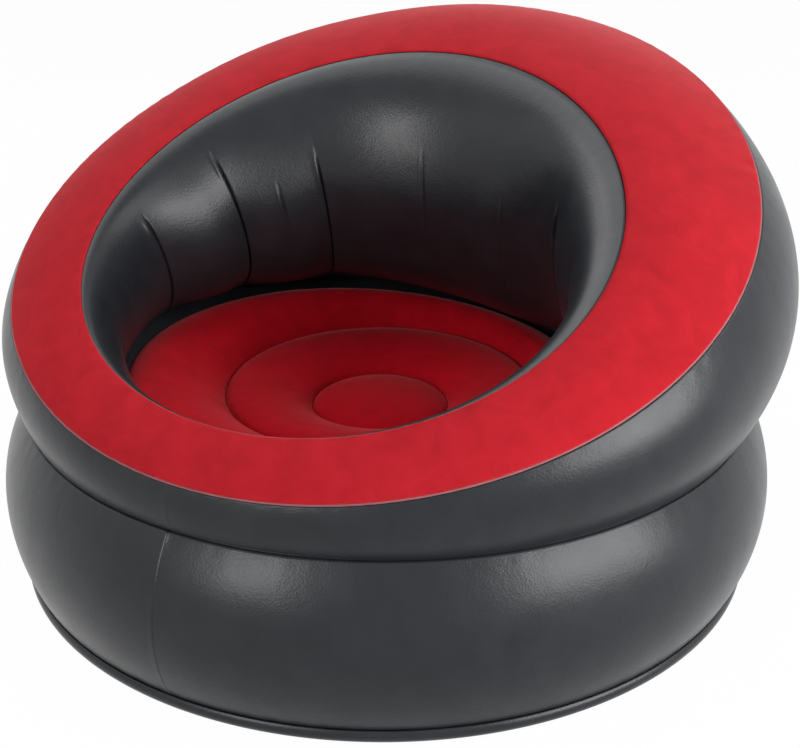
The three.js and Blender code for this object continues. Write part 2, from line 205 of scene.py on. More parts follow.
# Slowest and fastest waves of each kind of relief, in waves round the chair
PUCKER_WAVES = (60, 130)
SWELL_WAVES = (2, 9)
SEAT_PUCKER_WAVES = (30, 70)

# Air holes of the middle sheet, and how far a hole's cutter reaches each way
AIR_HOLE_RADIUS = 22 * MM
AIR_HOLE_COUNT = 6
CUT_OVERRUN = 30 * MM

# Valve
VALVE_PLACE = (0, 557.702 * MM, 132.392 * MM)
VALVE_FLAT_RADIUS = 33 * MM
VALVE_EASE_RADIUS = 70 * MM
VALVE_STATIONS = 96
VALVE_BORE = 14 * MM
COLLAR_RADIUS = 17 * MM
COLLAR_DEPTH = 16 * MM
FLANGE_RADIUS = 30 * MM
FLANGE_THICKNESS = 1.2 * MM
LIP_TOP = 4.2 * MM
RUNNING_CLEARANCE = 0.3 * MM
FINE_BORE = 6 * MM
SLEEVE_RADIUS = 13.7 * MM
SLEEVE_BORE = 11.5 * MM
BODY_RIM_RADIUS = 18.7 * MM
RIM_BOTTOM = 4.5 * MM
RIM_TOP = 7 * MM
BODY_DEPTH = 18 * MM
BODY_FLOOR = -5.6 * MM
CAP_RADIUS = 10 * MM
CAP_BOTTOM = 7.3 * MM
CAP_TOP = 8.9 * MM
CAP_EAR_WIDTH = 8 * MM
CAP_EAR_REACH = 7 * MM
PLUG_RADIUS = 5.7 * MM
PLUG_LENGTH = 6 * MM
STRAP_WIDTH = 4 * MM
STRAP_THICKNESS = 0.8 * MM
STRAP_RISE = 5 * MM
STRAP_INSET = 3 * MM
STRAP_FLANK_SHARE = 0.4
RING_FILLET = 0.8 * MM
CAP_BEVEL = 0.4 * MM
PLUG_BEVEL = 0.5 * MM

# A side of a moulded ring's outline is at least this many times as long as its fillets reach
SIDE_TO_FILLET = 2.2

# Camera: angles in radians, places in metres, lens and sensor in millimetres
CAMERA_AZIMUTH = 0.4028
CAMERA_ELEVATION = 0.4227
CAMERA_DISTANCE = 2.288
CAMERA_TARGET = (-0.0184, 0.0969, 0.2092)
CAMERA_LENS = 67.5
SENSOR_WIDTH = 36

# Lamps stand at one distance round the chair
LAMP_TARGET = (0, 0, 0.35)
LAMP_DISTANCE = 2.8

Lamp = namedtuple("Lamp", "name azimuth elevation size power")

# Azimuth and elevation in degrees, width and height in metres, power in watts
LAMPS = (
    Lamp("right_softbox", 77, 13, (1.9, 1.4), 82),
    Lamp("front_softbox", -12, 20, (0.9, 1.3), 30),
    Lamp("front_left_softbox", -60, 28, (1.6, 1.2), 4),
    Lamp("left_softbox", -110, 38, (1.8, 1.2), 12),
    Lamp("left_high_softbox", -115, 66, (2.4, 2.4), 42),
    Lamp("back_left_softbox", -145, 16, (2.8, 2.2), 13),
    Lamp("right_high_softbox", 105, 40, (1.8, 1.4), 20),
)

# Floor: the share of its own glow in what is seen directly
FLOOR_SIZE = 30
FLOOR_GLOW_SHARE = 0.98

ROUND = 2 * math.pi
UP = np.array([0.0, 0.0, 1.0])

# Fineness of the meshes: stations round the chair and steps across its sheets
STATIONS = 480
SEAT_STATIONS = 360
MIDDLE_STATIONS = 240
BASE_FLAT_ROWS = 12
BASE_TURN_STEPS = 16
LOWER_WALL_STEPS = 56
UPPER_WALL_STEPS = 72
BAND_STEPS = 46
INNER_WALL_STEPS = 80
CUSHION_STEPS = 34
DOME_ROWS = 20
MIDDLE_ROWS = 10
STRIP_STEPS = 8
STRAP_STEPS = 24
FILLET_STEPS = 4
TAB_ROWS = 13
PLATE_STATIONS = 48
CUTTER_SIDES = 64

# Radius of the first row of the base sheet, and turn of the last row of the seat's dome
BASE_POLE_RADIUS = 5 * MM
DOME_LAST_TURN = 0.03

# Finer stations near a crease or an upright weld: how far on each side in degrees, and how many
CREASE_FINENESS = (1.7, 25)
WELD_FINENESS = (1.4, 41)


# Rings: arrays of one point for each station angle


def station_angles(count=STATIONS):
    return np.arange(count) * ROUND / count


def angles_near(places, reach, fine_count):
    """Even stations with finer ones within reach of each place, all in degrees."""
    near = np.radians(np.linspace(-reach, reach, fine_count))
    places = np.radians(places)
    even = station_angles()
    clear = [np.abs(even - place) > math.radians(reach) for place in places]
    return np.sort(np.concatenate([even[np.all(clear, axis=0)], *(place + near for place in places)]))


def crease_angles():
    return angles_near([crease.angle for crease in CREASES], *CREASE_FINENESS)


def outer_angles(weld_angle):
    return angles_near([weld_angle], *WELD_FINENESS)


def circle(angles, radius, centre, height):
    return np.stack(
        [
            centre[0] + radius * np.cos(angles),
            centre[1] + radius * np.sin(angles),
            np.full_like(angles, height),
        ],
        axis=-1,
    )


def sloping_ring(angles, rim):
    """An egg-shaped ring that rises from the front to the back."""
    front, back = rim.front_height, rim.back_height
    return np.stack(
        [
            rim.half_width * np.cos(angles) * (1 + rim.egg_share * np.sin(angles)),
            rim.setback + rim.half_length * np.sin(angles),
            (front + back) / 2 + (back - front) / 2 * np.sin(angles),
        ],
        axis=-1,
    )


def waist(angles):
    return circle(angles, WAIST_RADIUS, WAIST_CENTRE, WAIST_HEIGHT)


def settled(ring):
    """A ring of the seat as it settles, lower on the right."""
    return ring - SEAT_LEAN_SHARE * ring[:, :1] * UP


def seat_edge(angles):
    return settled(circle(angles, SEAT_EDGE_RADIUS, SEAT_EDGE_CENTRE, SEAT_EDGE_HEIGHT))


def wall_foot(angles):
    return settled(circle(angles, WALL_FOOT_RADIUS, WALL_FOOT_CENTRE, WALL_FOOT_HEIGHT))


def turned_from(angles, place):
    """How far each station is round from a place in degrees, in radians between -pi and pi."""
    return (angles - math.radians(place) + math.pi) % ROUND - math.pi


def outward(angles):
    return np.stack([np.cos(angles), np.sin(angles), np.zeros_like(angles)], axis=-1)


# Vector helpers


def dot(a, b):
    return np.sum(a * b, axis=-1, keepdims=True)


def unit(a):
    return a / np.linalg.norm(a, axis=-1, keepdims=True)


def square_to(direction, chord):
    along = unit(chord)
    return unit(direction - dot(direction, along) * along)


def arc_rows(start, end, steps, direction, sagitta):
    """Rows from start to end along circular arcs that bow by sagitta, a number for each station."""
    chord = end - start
    length = np.linalg.norm(chord, axis=-1)
    radius = (length**2 / 4 + sagitta**2) / (2 * sagitta)
    half = np.arcsin(np.clip(length / 2 / radius, -1, 1))
    bow = square_to(direction, chord)
    along = unit(chord)
    middle = (start + end) / 2
    rows = []
    for share in np.linspace(0, 1, steps + 1):
        turned = (2 * share - 1) * half
        sideways = (radius * np.sin(turned))[:, None]
        rise = (radius * np.cos(turned) - (radius - sagitta))[:, None]
        rows.append(middle + along * sideways + bow * rise)
    return np.array(rows)


def grid_normals(rows):
    """Outward unit normals of a grid of rows that close round the chair."""
    round_way = np.roll(rows, -1, axis=1) - np.roll(rows, 1, axis=1)
    across = np.gradient(rows, axis=0)
    return unit(np.cross(round_way, across))


def displaced(rows, amount):
    return rows + grid_normals(rows) * amount[..., None]


def mixed(start, end, share):
    return start + (end - start) * share


def smooth_step(value, low, high):
    """0 below low, 1 above high and an even S between them."""
    share = np.clip((value - low) / (high - low), 0, 1)
    return share * share * (3 - 2 * share)


def cubic(share, points):
    """A point along the cubic curve of four points, or one for each station."""
    rest = 1 - share
    weights = (rest**3, 3 * rest**2 * share, 3 * rest * share**2, share**3)
    return sum(weight * point for weight, point in zip(weights, points))


def ripple(angles, seed, slowest, fastest, waves=14):
    """An irregular wave round the chair, mostly between -1 and 1."""
    rng = np.random.default_rng(seed)
    counts = rng.integers(slowest, fastest + 1, waves)
    phases = rng.uniform(0, ROUND, waves)
    total = sum(np.cos(count * angles + phase) for count, phase in zip(counts, phases))
    return total / math.sqrt(waves)


# Meshes


def new_object(name, vertices, faces, material):
    mesh = bpy.data.meshes.new(name)
    mesh.from_pydata(vertices.tolist(), [], faces)
    mesh.validate()
    mesh.update()
    mesh.shade_smooth()
    mesh.materials.append(material)
    piece = bpy.data.objects.new(name, mesh)
    bpy.context.scene.collection.objects.link(piece)
    return piece


def outside_out(piece):
    """Turns all the faces of a closed mesh outward."""
    work = bmesh.new()
    work.from_mesh(piece.data)
    bmesh.ops.recalc_face_normals(work, faces=work.faces)
    work.to_mesh(piece.data)
    work.free()
    return piece


def cylinder_cutter(name, place, radius, reach, turned=False):
    """A cylinder along Z, or along Y if it is turned, that reaches equally far both ways."""
    bpy.ops.mesh.primitive_cylinder_add(
        radius=radius, depth=2 * reach, vertices=CUTTER_SIDES, location=place
    )
    cutter = bpy.context.object
    cutter.name = name
    if turned:
        cutter.rotation_euler.x = math.pi / 2
    return cutter


def cut_away(piece, cutters):
    """Cuts the cutters out of a piece for good, and removes them."""
    for cutter in cutters:
        modifier = piece.modifiers.new(cutter.name, "BOOLEAN")
        modifier.operation = "DIFFERENCE"
        modifier.solver = "EXACT"
        modifier.object = cutter
    graph = bpy.context.evaluated_depsgraph_get()
    mesh = bpy.data.meshes.new_from_object(piece.evaluated_get(graph))
    piece.modifiers.clear()
    piece.data = mesh
    for cutter in cutters:
        bpy.data.objects.remove(cutter)


def grid_faces(row_count, width, start=0, flip=False):
    """Quads of a grid whose rows close round."""
    faces = []
    for j in range(row_count - 1):
        for i in range(width):
            a = start + j * width + i
            b = start + j * width + (i + 1) % width
            quad = (a, b, b + width, a + width)
            faces.append(quad[::-1] if flip else quad)
    return faces


def sheet(name, rows, thickness, material, poles=()):
    """A closed sheet round a middle surface. poles are the rows, 0 or -1, closed to a disc."""
    count, width = rows.shape[:2]
    normals = grid_normals(rows)
    outside = rows + normals * thickness / 2
    inside = rows - normals * thickness / 2
    vertices = np.concatenate([outside.reshape(-1, 3), inside.reshape(-1, 3)])
    half = count * width
    faces = grid_faces(count, width) + grid_faces(count, width, half, flip=True)
    for row in (0, count - 1):
        ring = [row * width + i for i in range(width)]
        first = row == 0
        if (0 if first else -1) in poles:
            faces.append(tuple(ring[::-1] if first else ring))
            faces.append(tuple(half + i for i in (ring if first else ring[::-1])))
            continue
        for a, b in zip(ring, ring[1:] + ring[:1]):
            quad = (a, half + a, half + b, b)
            faces.append(quad if first else quad[::-1])
    return new_object(name, vertices, faces, material)


# Materials: colours are linear red, green and blue, from the darkest to the palest patches

VINYL_TONES = ((0.0112, 0.0124, 0.0152), (0.0158, 0.0172, 0.0206))
VINYL_ROUGHNESS = (0.28, 0.35)
# Painted highlight: the pale pinkish colour of the band's pressed edge stands in for light caught along
# that edge
EDGE_HIGHLIGHT_TONES = ((0.22, 0.065, 0.075), (0.28, 0.095, 0.105))
MOULDED_TONES = ((0.016, 0.017, 0.018), (0.022, 0.023, 0.025))
MOULDED_ROUGHNESS = (0.3, 0.42)
# The band's red is a lit copy of the seat's red: its paler green and blue are painted sheen, and its
# lower red is painted shade. The seat's red is the flock's own colour
BAND_RED_PAINTED_SHEEN = (0.43, 0.0142, 0.0222)
SEAT_RED = (0.47, 0.0052, 0.0135)
SHEEN_TINT = (1.0, 0.45, 0.45)

# Patches of the nap, as shares of the flock's colour
FLOCK_SHADES = (0.87, 1.0, 1.13)

# Noise lies mostly between these values
NOISE_RANGE = (0.3, 0.7)


class Nodes:
    """Short calls for one material's node tree."""

    def __init__(self, name):
        self.material = bpy.data.materials.new(name)
        self.material.use_nodes = True
        self.tree = self.material.node_tree
        self.shader = self.tree.nodes["Principled BSDF"]
        self.place = self.tree.nodes.new("ShaderNodeTexCoord").outputs["Object"]

    def add(self, kind):
        return self.tree.nodes.new(kind)

    def link(self, source, target):
        self.tree.links.new(source, target)

    def feed(self, name, source):
        """Links a source to an input of the surface."""
        self.link(source, self.shader.inputs[name])

    def fix(self, values):
        """Gives inputs of the surface their fixed values."""
        for name, value in values.items():
            self.shader.inputs[name].default_value = value

    def noise(self, size, detail=3, roughness=0.5, distortion=0):
        node = self.add("ShaderNodeTexNoise")
        node.inputs["Scale"].default_value = 1 / size
        node.inputs["Detail"].default_value = detail
        node.inputs["Roughness"].default_value = roughness
        node.inputs["Distortion"].default_value = distortion
        self.link(self.place, node.inputs["Vector"])
        return node.outputs["Fac"]

    def cells(self, size):
        node = self.add("ShaderNodeTexVoronoi")
        node.feature = "SMOOTH_F1"
        node.inputs["Scale"].default_value = 1 / size
        self.link(self.place, node.inputs["Vector"])
        return node.outputs["Distance"]

    def tones(self, source, colours):
        """The colours in turn, spread evenly over the usual range of a noise."""
        node = self.add("ShaderNodeValToRGB")
        elements = node.color_ramp.elements
        places = np.linspace(*NOISE_RANGE, len(colours))
        elements[0].position = places[0]
        elements[1].position = places[-1]
        for place in places[1:-1]:
            elements.new(place)
        for element, colour in zip(elements, colours):
            element.color = (*colour, 1)
        self.link(source, node.inputs["Fac"])
        return node.outputs["Color"]

    def spread(self, source, taken, given):
        """Maps the range of values taken onto the range given."""
        node = self.add("ShaderNodeMapRange")
        for key, value in zip(("From Min", "From Max", "To Min", "To Max"), (*taken, *given)):
            node.inputs[key].default_value = value
        self.link(source, node.inputs["Value"])
        return node.outputs["Result"]

    def bump(self, source, distance, strength=1.0, below=None):
        node = self.add("ShaderNodeBump")
        node.inputs["Distance"].default_value = distance
        node.inputs["Strength"].default_value = strength
        self.link(source, node.inputs["Height"])
        if below is not None:
            self.link(below, node.inputs["Normal"])
        return node.outputs["Normal"]


def vinyl_material():
    """Black vinyl film: satin, with a fine pebbled grain and slow changes of gloss."""
    nodes = Nodes("vinyl")
    nodes.feed("Base Color", nodes.tones(nodes.noise(45 * MM, detail=4), VINYL_TONES))
    gloss = nodes.noise(60 * MM, detail=5, roughness=0.6)
    nodes.feed("Roughness", nodes.spread(gloss, NOISE_RANGE, VINYL_ROUGHNESS))
    nodes.fix({"Specular IOR Level": 0.29})
    unevenness = nodes.bump(nodes.noise(14 * MM, detail=3), 0.3 * MM, 0.7)
    pebbles = nodes.bump(nodes.cells(2.4 * MM), 0.16 * MM, 0.9, unevenness)
    grain = nodes.bump(nodes.noise(0.5 * MM, detail=2), 0.02 * MM, 0.8, pebbles)
    nodes.feed("Normal", grain)
    return nodes.material


def flock_material(name, colour):
    """Short red flock: deep colour, a soft sheen and patches where the nap lies another way."""
    nodes = Nodes(name)
    patches = nodes.noise(38 * MM, detail=6, roughness=0.62, distortion=0.6)
    tones = [tuple(shade * level for level in colour) for shade in FLOCK_SHADES]
    nodes.feed("Base Color", nodes.tones(patches, tones))
    nodes.fix({"Roughness": 0.95, "Specular IOR Level": 0.04})
    nodes.fix({"Sheen Weight": 0.33, "Sheen Roughness": 0.36, "Sheen Tint": (*SHEEN_TINT, 1)})
    nap = nodes.bump(nodes.noise(9 * MM, detail=5, roughness=0.65), 0.5 * MM, 0.5)
    fibres = nodes.bump(nodes.noise(0.7 * MM, detail=3, roughness=0.7), 0.25 * MM, 0.7, nap)
    nodes.feed("Normal", fibres)
    return nodes.material


def edge_highlight_material():
    """The flocked sheet's pressed edge, bare of flock, whose pale pinkish colour is a painted highlight
    along the edge.
    """
    nodes = Nodes("flock_edge_painted_highlight")
    nodes.feed("Base Color", nodes.tones(nodes.noise(20 * MM, detail=3), EDGE_HIGHLIGHT_TONES))
    nodes.fix({"Roughness": 0.7})
    nodes.feed("Normal", nodes.bump(nodes.noise(1.5 * MM, detail=2), 0.05 * MM, 0.8))
    return nodes.material


def moulded_material():
    """Soft moulded black plastic of the valve."""
    nodes = Nodes("moulded")
    nodes.feed("Base Color", nodes.tones(nodes.noise(12 * MM, detail=3), MOULDED_TONES))
    gloss = nodes.noise(6 * MM, detail=3)
    nodes.feed("Roughness", nodes.spread(gloss, NOISE_RANGE, MOULDED_ROUGHNESS))
    nodes.feed("Normal", nodes.bump(nodes.noise(0.6 * MM, detail=2), 0.015 * MM, 0.8))
    return nodes.material


# The chair's sheets


def wall_puckers(angles, shares, softness):
    """Small gathers that fade away from both welds of a sheet."""
    first = ripple(angles, softness.seed, *PUCKER_WAVES)
    second = ripple(angles, softness.seed + 1, *PUCKER_WAVES)
    near = np.exp(-shares / softness.pucker_reach)[:, None] * first[None]
    far = np.exp(-(1 - shares) / softness.pucker_reach)[:, None] * second[None]
    fade = smooth_step(np.minimum(shares, 1 - shares), 0, WELD_FLAT_SHARE)[:, None]
    return softness.pucker_depth * (near + far) * fade


def wall_swell(angles, shares, softness):
    """Slow unevenness of a soft sheet, none at its welds."""
    bell = np.sin(math.pi * shares)[:, None]
    swell = ripple(angles, softness.seed + SWELL_SEED_STEP, *SWELL_WAVES, waves=6)
    return softness.swell_depth * bell * swell[None]


def soft_relief(angles, shares, softness):
    return wall_puckers(angles, shares, softness) + wall_swell(angles, shares, softness)


def base_rows(angles):
    """Flat on the floor, then turned up through an arc that swells out under the weld."""
    middle = VINYL_THICKNESS / 2
    centre_height = middle + BASE_TURN_RADIUS
    turn_end = math.asin((BASE_WELD_HEIGHT - centre_height) / BASE_TURN_RADIUS)
    centre_radius = BASE_WELD_RADIUS - BASE_TURN_RADIUS * math.cos(turn_end)
    flat_radii = np.linspace(BASE_POLE_RADIUS, centre_radius, BASE_FLAT_ROWS)
    rows = [circle(angles, radius, (0, 0), middle) for radius in flat_radii]
    for turned in np.linspace(-math.pi / 2, turn_end, BASE_TURN_STEPS + 1)[1:]:
        radius = centre_radius + BASE_TURN_RADIUS * math.cos(turned)
        rows.append(circle(angles, radius, (0, 0), centre_height + BASE_TURN_RADIUS * math.sin(turned)))
    return np.array(rows)


def base_sheet(material):
    return sheet("base_film", base_rows(station_angles()), VINYL_THICKNESS, material, poles=(0,))


def panel_weld_relief(angles, shares, weld_angle):
    """The lap where a wall's ends overlap: a sharp edge on its right that eases out on its left."""
    aside = -turned_from(angles, weld_angle) * WAIST_RADIUS
    edge = smooth_step(aside, 0, PANEL_EDGE_WIDTH)
    lap = edge * (1 - smooth_step(aside, PANEL_EDGE_WIDTH, PANEL_WELD_WIDTH))
    along = smooth_step(shares, 0, PANEL_WELD_FADE)[:, None]
    return along * PANEL_WELD_RISE * lap[None]


def weld_pucker(angles, shares):
    """A small pucker where the lower wall's upright weld meets the waist."""
    aside = turned_from(angles, LOWER_WELD_ANGLE) * WAIST_RADIUS
    near = np.exp(-((aside / WELD_PUCKER_WIDTH) ** 2))
    below = (1 - shares) / WELD_PUCKER_REACH
    return WELD_PUCKER_RISE * (below * np.exp(1 - below))[:, None] * near[None]


def flat_round_valve(rows):
    """The wall drawn flat under the valve's flange."""
    aside = np.hypot(rows[..., 0] - VALVE_PLACE[0], rows[..., 2] - VALVE_PLACE[2])
    behind = rows[..., 1] > 0
    share = np.where(behind, 1 - smooth_step(aside, VALVE_FLAT_RADIUS, VALVE_EASE_RADIUS), 0)
    flat = VALVE_PLACE[1] - WELD_GAP - VINYL_THICKNESS / 2
    rows = rows.copy()
    rows[..., 1] += share * (flat - rows[..., 1])
    return rows


def lower_wall(material):
    angles = outer_angles(LOWER_WELD_ANGLE)
    lean = 2 * math.atan(2 * LOWER_WALL_BULGE / (WAIST_HEIGHT - BASE_WELD_HEIGHT))
    foot_radius = BASE_WELD_RADIUS - LAP_STEP - BASE_LAP * math.tan(lean)
    foot = circle(angles, foot_radius, (0, 0), BASE_WELD_HEIGHT - BASE_LAP)
    head = waist(angles) - LAP_STEP * UP
    bulge = np.full_like(angles, LOWER_WALL_BULGE)
    rows = arc_rows(foot, head, LOWER_WALL_STEPS, outward(angles), bulge)
    shares = np.linspace(0, 1, len(rows))
    relief = soft_relief(angles, shares, LOWER_SOFTNESS)
    relief += panel_weld_relief(angles, shares, LOWER_WELD_ANGLE) + weld_pucker(angles, shares)
    piece = sheet("lower_film", flat_round_valve(displaced(rows, relief)), VINYL_THICKNESS, material)
    hole = cylinder_cutter("valve_hole", VALVE_PLACE, COLLAR_RADIUS + WELD_GAP, CUT_OVERRUN, turned=True)
    cut_away(piece, [hole])
    return piece


def upper_wall(material):
    angles = outer_angles(UPPER_WELD_ANGLE)
    start, end = waist(angles) + LAP_STEP * UP, sloping_ring(angles, OUTER_RIM)
    height = np.linalg.norm(end - start, axis=-1)
    bulge = UPPER_WALL_BULGE * (height / UPPER_WALL_BULGE_HEIGHT) ** UPPER_WALL_BULGE_POWER
    rows = arc_rows(start, end - LAP_STEP * UP, UPPER_WALL_STEPS, outward(angles), bulge)
    shares = np.linspace(0, 1, len(rows))
    relief = soft_relief(angles, shares, UPPER_SOFTNESS)
    relief += panel_weld_relief(angles, shares, UPPER_WELD_ANGLE)
    return sheet("upper_film", displaced(rows, relief), VINYL_THICKNESS, material)


def band_rows(angles):
    start, end = sloping_ring(angles, OUTER_RIM), sloping_ring(angles, INNER_RIM)
    width = np.linalg.norm(end - start, axis=-1)
    upward = np.broadcast_to(UP, start.shape)
    return arc_rows(start, end, BAND_STEPS, upward, BAND_CROWN_SHARE * width)


def top_sheet(flock, pressed):
    """The crowned band, with a pressed flat edge outside."""
    angles = station_angles()
    rows = band_rows(angles)
    shares = np.linspace(0, 1, len(rows))
    body = displaced(rows, soft_relief(angles, shares, BAND_SOFTNESS))
    # The pressed edge, the rise beside it, and the flock that this lifts as far as the inner weld
    inset = unit(body[1] - body[0])
    edge = [body[0] + inset * share * BAND_EDGE_WIDTH for share in (0, 0.5, 1)]
    rise = [body[0] + inset * BAND_EDGE_WIDTH * BAND_RISE_SHARE + UP * BAND_EDGE_DROP]
    raised_share = smooth_step(1 - shares[1:], 0, WELD_FLAT_SHARE)[:, None, None]
    raised = body[1:] + UP * BAND_EDGE_DROP * raised_share
    piece = sheet("red_band", np.concatenate([edge, rise, raised]), FLOCK_THICKNESS, flock)
    # The pressed edge gets the pale material, a painted highlight
    piece.data.materials.append(pressed)
    # The outer strips of the pressed edge, and the faces of its cut
    width = len(angles)
    faces = piece.data.polygons
    for face in (*faces[: 2 * width], *faces[-2 * width : -width]):
        face.material_index = 1
    return piece


def crease_height(shares, crease):
    """How far a crease is open along the wall, between 0 and 1."""
    head = smooth_step(shares - crease.head, *CREASE_OPENING)
    foot = 1 - smooth_step(shares - crease.foot, *CREASE_CLOSING)
    return (head * foot)[:, None]


def crease_relief(angles, shares):
    """Thin grooves, each with a puffed lip on its left side near its head."""
    relief = np.zeros((len(shares), len(angles)))
    for crease in CREASES:
        aside = turned_from(angles, crease.angle) * WALL_FOOT_RADIUS
        groove = np.exp(-((aside / crease.width) ** 2))
        lip = np.exp(-(((aside - CREASE_LIP_OFFSET) / CREASE_LIP_WIDTH) ** 2))
        lip_height = 1 - smooth_step(shares - crease.head, *CREASE_LIP_FADING)
        opened = crease_height(shares, crease)
        relief -= crease.depth * opened * groove[None]
        relief += CREASE_LIP_SHARE * crease.depth * opened * lip_height[:, None] * lip[None]
    return relief


def panel_relief(angles, shares):
    """Each panel between two long creases draws flat toward the seat, most of all low down."""
    relief = np.zeros((len(shares), len(angles)))
    swell = smooth_step(shares, *PANEL_SWELLING) * (1 - smooth_step(shares, *PANEL_FALLING))
    for crease, following in zip(PANEL_CREASES, PANEL_CREASES[1:] + PANEL_CREASES[:1]):
        width = math.radians((following.angle - crease.angle) % 360)
        share = (angles - math.radians(crease.angle)) % ROUND / width
        puff = np.where(share < 1, 4 * share * (1 - share), 0)
        flat = WALL_FOOT_RADIUS * (1 - math.cos(width / 2))
        relief += min(PANEL_PUFF, PANEL_FLATNESS * flat) * swell[:, None] * puff[None]
    return relief


def roll_and_tuck(angles, head, foot):
    """The two middle points of the wall's curve: where it rolls in and where it tucks back."""
    height = np.linalg.norm(head - foot, axis=-1)[:, None]
    inward = -outward(angles)
    rightward = smooth_step(np.cos(angles), *ROLL_RIGHTWARD)[:, None]
    rearward = smooth_step(np.sin(angles), *ROLL_REARWARD)[:, None]
    roll_share = ROLL_REACH_SHARE + (ROLL_RIGHT_SHARE - ROLL_REACH_SHARE) * rightward * (1 - rearward)
    sideways = smooth_step(np.cos(angles), *TUCK_RIGHTWARD)[:, None]
    backward = smooth_step(np.sin(angles), *TUCK_REARWARD)[:, None]
    tuck_share = mixed(TUCK_FRONT_SHARE, mixed(TUCK_BACK_SHARE, TUCK_RIGHT_SHARE, sideways), backward)
    roll = head + inward * roll_share * height - UP * ROLL_DROP_SHARE * height
    tuck = foot + inward * tuck_share * height
    return roll, tuck


def inner_wall(material):
    angles = crease_angles()
    head = sloping_ring(angles, INNER_RIM) - LAP_STEP * UP
    foot = wall_foot(angles) + LAP_STEP * UP
    roll, tuck = roll_and_tuck(angles, head, foot)
    shares = np.linspace(0, 1, INNER_WALL_STEPS + 1)
    rows = np.array([cubic(share, (head, roll, tuck, foot)) for share in shares])
    fullness = np.minimum(1, np.linalg.norm(head - foot, axis=-1) / CREASE_FULL_HEIGHT)
    relief = soft_relief(angles, shares, INNER_SOFTNESS)
    relief += fullness * (crease_relief(angles, shares) + panel_relief(angles, shares))
    return sheet("inner_film", displaced(rows, relief), VINYL_THICKNESS, material)


def cushion_rows(start, end, crown, roundness, skew=1.0):
    """Rows of a puffed ring from one weld to the next, closest together near the welds."""
    rows = []
    for turn in np.linspace(0, math.pi, CUSHION_STEPS + 1):
        share = (1 - math.cos(turn)) / 2
        rise = crown * max(0, math.sin(math.pi * (turn / math.pi) ** skew)) ** roundness
        rows.append(mixed(start, end, share) + UP * rise)
    return rows


def weld_circle(angles, radius, height):
    return circle(angles, radius, SEAT_WELD_CENTRE, height)


def seat_rows(angles):
    half = SEAT_WELD_WIDTH / 2
    outer = [weld_circle(angles, OUTER_WELD_RADIUS + side * half, OUTER_WELD_HEIGHT) for side in (1, -1)]
    inner = [weld_circle(angles, INNER_WELD_RADIUS + side * half, INNER_WELD_HEIGHT) for side in (1, -1)]
    rows = cushion_rows(
        seat_edge(angles), outer[0], OUTER_CUSHION_CROWN, OUTER_CUSHION_ROUNDNESS, OUTER_CUSHION_SKEW
    )
    rows += cushion_rows(outer[1], inner[0], INNER_CUSHION_CROWN, INNER_CUSHION_ROUNDNESS)
    dome_radius = INNER_WELD_RADIUS - half
    for turn in np.linspace(math.pi / 2, DOME_LAST_TURN, DOME_ROWS):
        rise = MIDDLE_CUSHION_CROWN * math.cos(turn) ** INNER_CUSHION_ROUNDNESS
        rows.append(weld_circle(angles, dome_radius * math.sin(turn), INNER_WELD_HEIGHT + rise))
    return np.array(rows)


def seat_puckers(angles, row_count):
    """Small gathers on both sides of the seat's two round welds."""
    rows = np.arange(row_count)
    puckers = np.zeros((row_count, len(angles)))
    for weld in (1, 2):
        first = weld * (CUSHION_STEPS + 1)
        apart = np.minimum(np.abs(rows - first), np.abs(rows - first - 1))
        near = np.where(apart > 0, np.exp(-apart / SEAT_PUCKER_ROWS), 0)
        gathers = ripple(angles, SEAT_PUCKER_SEED + weld, *SEAT_PUCKER_WAVES)
        puckers += SEAT_PUCKER_DEPTH * near[:, None] * gathers[None]
    return puckers


def seat_sheet(material):
    angles = station_angles(SEAT_STATIONS)
    rows = seat_rows(angles)
    relief = seat_puckers(angles, len(rows))
    piece = sheet("red_seat", displaced(rows, relief), FLOCK_THICKNESS, material, poles=(-1,))
    return piece


def middle_sheet(material):
    angles = station_angles(MIDDLE_STATIONS)
    foot = wall_foot(angles)
    drop = UP * (FLOCK_THICKNESS / 2 + WELD_GAP + VINYL_THICKNESS / 2)
    edge = seat_edge(angles) - drop
    rows = [waist(angles) * (1 - share) + foot * share for share in np.linspace(0, 1, MIDDLE_ROWS)]
    for share in np.linspace(0, 1, STRIP_STEPS + 1)[1:]:
        rise = STRIP_CROWN * math.sin(math.pi * share)
        rows.append(foot * (1 - share) + edge * share + UP * rise)
    under = settled(circle(angles, SEAT_EDGE_RADIUS - LAP_WIDTH, SEAT_EDGE_CENTRE, SEAT_EDGE_HEIGHT))
    rows.append(under - drop)
    piece = sheet("middle_film", np.array(rows), VINYL_THICKNESS, material)
    radius = (WAIST_RADIUS + WALL_FOOT_RADIUS) / 2
    setback = (WAIST_CENTRE[1] + WALL_FOOT_CENTRE[1]) / 2
    holes = []
    for hole in range(AIR_HOLE_COUNT):
        angle = ROUND * (hole + 1 / 2) / AIR_HOLE_COUNT
        place = (radius * math.cos(angle), setback + radius * math.sin(angle), WAIST_HEIGHT)
        holes.append(cylinder_cutter("air_hole", place, AIR_HOLE_RADIUS, 2 * CUT_OVERRUN))
    cut_away(piece, holes)
    return piece


# The valve, whose pieces turn round one axis along Y


def valve_point(across, along, upward):
    return np.array(VALVE_PLACE) + np.array([across, along, upward])


def rounded(outline):
    """A closed outline with each of its corners cut to a small curve."""
    points = np.array(outline, dtype=float)
    curve = []
    for before, corner, after in zip(np.roll(points, 1, 0), points, np.roll(points, -1, 0)):
        start, end = (
            corner + unit(side) * min(RING_FILLET, np.linalg.norm(side) / SIDE_TO_FILLET)
            for side in (before - corner, after - corner)
        )
        for s in np.linspace(0, 1, FILLET_STEPS + 1):
            curve.append((1 - s) ** 2 * start + 2 * s * (1 - s) * corner + s**2 * end)
    return np.array(curve)


